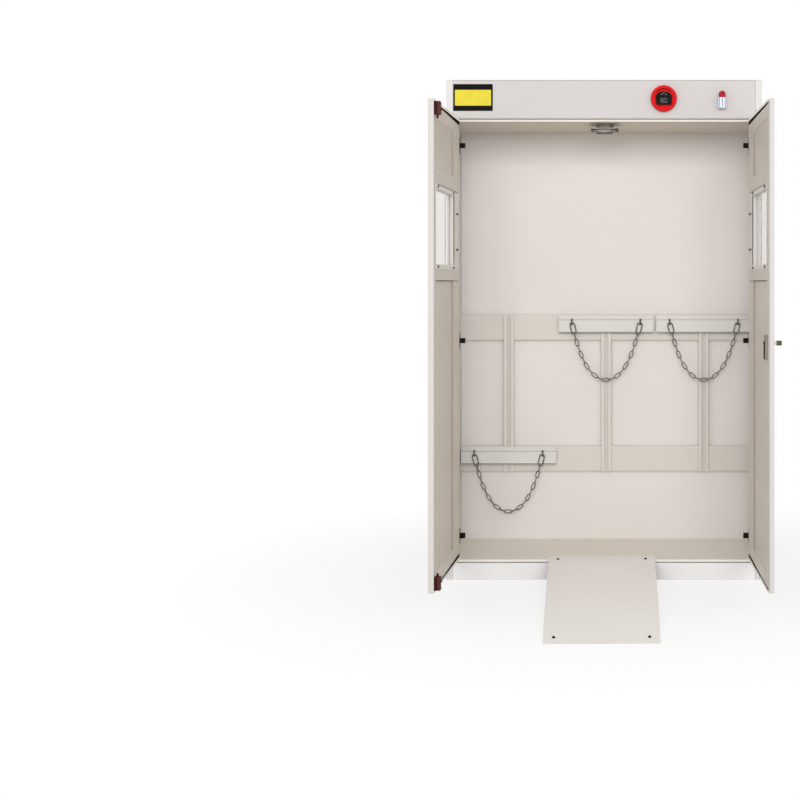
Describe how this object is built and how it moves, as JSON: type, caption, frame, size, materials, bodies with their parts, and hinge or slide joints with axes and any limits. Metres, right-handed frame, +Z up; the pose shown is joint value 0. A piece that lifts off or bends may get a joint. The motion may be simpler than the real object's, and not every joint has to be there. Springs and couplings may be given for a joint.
{
  "type": "gas cylinder cabinet",
  "caption": "Tall folded-steel gas cylinder cabinet with windowed doors, chain brackets on guide tracks, a ceiling fan, a gas alarm, a beacon and a loading ramp.",
  "frame": {"origin": "middle of the cabinet's footprint on the ground, on the underside of the base pan; the open doors and the ramp lie in front of it", "axes": "+Z up; the doors open towards -Y and the back wall faces +Y; +X is to the right of someone who stands in front"},
  "size_m": [1.2161, 1.374, 1.9],
  "materials": {
    "enamel": "warm light grey powder coat, satin",
    "enamel_kick": "light grey powder coat, satin",
    "glass": "clear, polished",
    "black_steel": "black enamel, semi-matt",
    "oxide_red": "dark red paint, satin",
    "zinc": "zinc plated",
    "chain_steel": "zinc plated, dull",
    "bronze_knob": "dark bronze, satin",
    "cast_aluminium": "die cast, satin",
    "black_plastic": "matt",
    "alarm_red": "gloss",
    "display_black": "smoked window, gloss",
    "beacon_white": "satin",
    "beacon_red": "clear red lens, gloss",
    "notice_black": "satin"
  },
  "bodies": {
    "cabinet": {"left_side_panel": "enamel", "right_side_panel": "enamel", "back_panel": "enamel", "top_panel": "enamel", "header_fascia": "enamel", "ceiling_panel": "enamel", "floor_panel": "enamel", "kick_plate": "enamel_kick", "base_pan": "enamel", "lower_rail": "enamel", "upper_rail": "enamel", "left_guide_track": "enamel", "centre_guide_track": "enamel", "right_guide_track": "enamel", "fan_frame": "cast_aluminium", "fan_guard": "zinc", "alarm_bezel": "alarm_red", "alarm_display": "display_black", "beacon_base": "beacon_white", "beacon_lens": "beacon_red", "notice_plate": "notice_black", "left_hinge_bottom_frame_leaf": "black_steel", "left_hinge_middle_frame_leaf": "black_steel", "left_hinge_top_frame_leaf": "black_steel", "right_hinge_bottom_frame_leaf": "black_steel", "right_hinge_middle_frame_leaf": "black_steel", "right_hinge_top_frame_leaf": "black_steel"},
    "left_door": {"left_door_skin": "enamel", "left_door_inner_skin": "enamel", "left_window_frame": "enamel", "left_window_glass": "glass", "left_hinge_bottom_door_leaf": "black_steel", "left_hinge_middle_door_leaf": "black_steel", "left_hinge_top_door_leaf": "black_steel", "top_bolt_housing": "oxide_red", "bottom_bolt_housing": "oxide_red"},
    "right_door": {"right_door_skin": "enamel", "right_door_inner_skin": "enamel", "right_window_frame": "enamel", "right_window_glass": "glass", "right_hinge_bottom_door_leaf": "black_steel", "right_hinge_middle_door_leaf": "black_steel", "right_hinge_top_door_leaf": "black_steel", "lock_case": "zinc"},
    "top_bolt": {"top_bolt": "oxide_red"},
    "bottom_bolt": {"bottom_bolt": "oxide_red"},
    "lock": {"lock_knob": "bronze_knob", "lock_cam": "zinc"},
    "key": {"key_plug": "zinc"},
    "left_bracket": {"left_bracket": "enamel"},
    "centre_bracket": {"centre_bracket": "enamel"},
    "right_bracket": {"right_bracket": "enamel"},
    "left_chain": {"left_chain": "chain_steel"},
    "centre_chain": {"centre_chain": "chain_steel"},
    "right_chain": {"right_chain": "chain_steel"},
    "fan": {"fan_rotor": "black_plastic"},
    "ramp": {"ramp": "enamel_kick"}
  },
  "joints": [
    {"name": "left_door_hinge", "type": "hinge", "parent": "cabinet", "child": "left_door", "pos_m": [-0.5732, -0.229, 0.908], "axis": [0, 0, 1], "range_deg": [-18.7, 91.3]},
    {"name": "right_door_hinge", "type": "hinge", "parent": "cabinet", "child": "right_door", "pos_m": [0.5732, -0.229, 0.908], "axis": [0, 0, -1], "range_deg": [-18.2, 91.8]},
    {"name": "top_bolt_slide", "type": "slide", "parent": "left_door", "child": "top_bolt", "axis": [0, 0, 1], "range_m": [0, 0.014]},
    {"name": "bottom_bolt_slide", "type": "slide", "parent": "left_door", "child": "bottom_bolt", "axis": [0, 0, -1], "range_m": [0, 0.014]},
    {"name": "lock_turn", "type": "hinge", "parent": "right_door", "child": "lock", "pos_m": [0.5859, -0.76056, 0.9226], "axis": [-0.9995, -0.0314, 0], "range_deg": [0, 90]},
    {"name": "key_turn", "type": "hinge", "parent": "right_door", "child": "key", "pos_m": [0.5859, -0.76056, 0.87], "axis": [-0.9995, -0.0314, 0], "range_deg": [0, 90]},
    {"name": "left_bracket_slide", "type": "slide", "parent": "cabinet", "child": "left_bracket", "axis": [0, 0, 1], "range_m": [0, 0.538]},
    {"name": "centre_bracket_slide", "type": "slide", "parent": "cabinet", "child": "centre_bracket", "axis": [0, 0, 1], "range_m": [-0.538, 0]},
    {"name": "right_bracket_slide", "type": "slide", "parent": "cabinet", "child": "right_bracket", "axis": [0, 0, 1], "range_m": [-0.538, 0]},
    {"name": "left_chain_swing", "type": "hinge", "parent": "left_bracket", "child": "left_chain", "pos_m": [-0.3992, 0.1542, 0.4278], "axis": [-1, 0, 0], "range_deg": [-2, 75]},
    {"name": "centre_chain_swing", "type": "hinge", "parent": "centre_bracket", "child": "centre_chain", "pos_m": [0, 0.1542, 0.9658], "axis": [-1, 0, 0], "range_deg": [-2, 75]},
    {"name": "right_chain_swing", "type": "hinge", "parent": "right_bracket", "child": "right_chain", "pos_m": [0.3992, 0.1542, 0.9658], "axis": [-1, 0, 0], "range_deg": [-2, 75]},
    {"name": "fan_spin", "type": "hinge", "parent": "cabinet", "child": "fan", "pos_m": [0, -0.1, 1.7318], "axis": [0, 0, 1], "continuous": true},
    {"name": "ramp_slide", "type": "slide", "parent": "cabinet", "child": "ramp", "axis": [0, -1, 0], "range_m": [0, 0.25]}
  ]
}
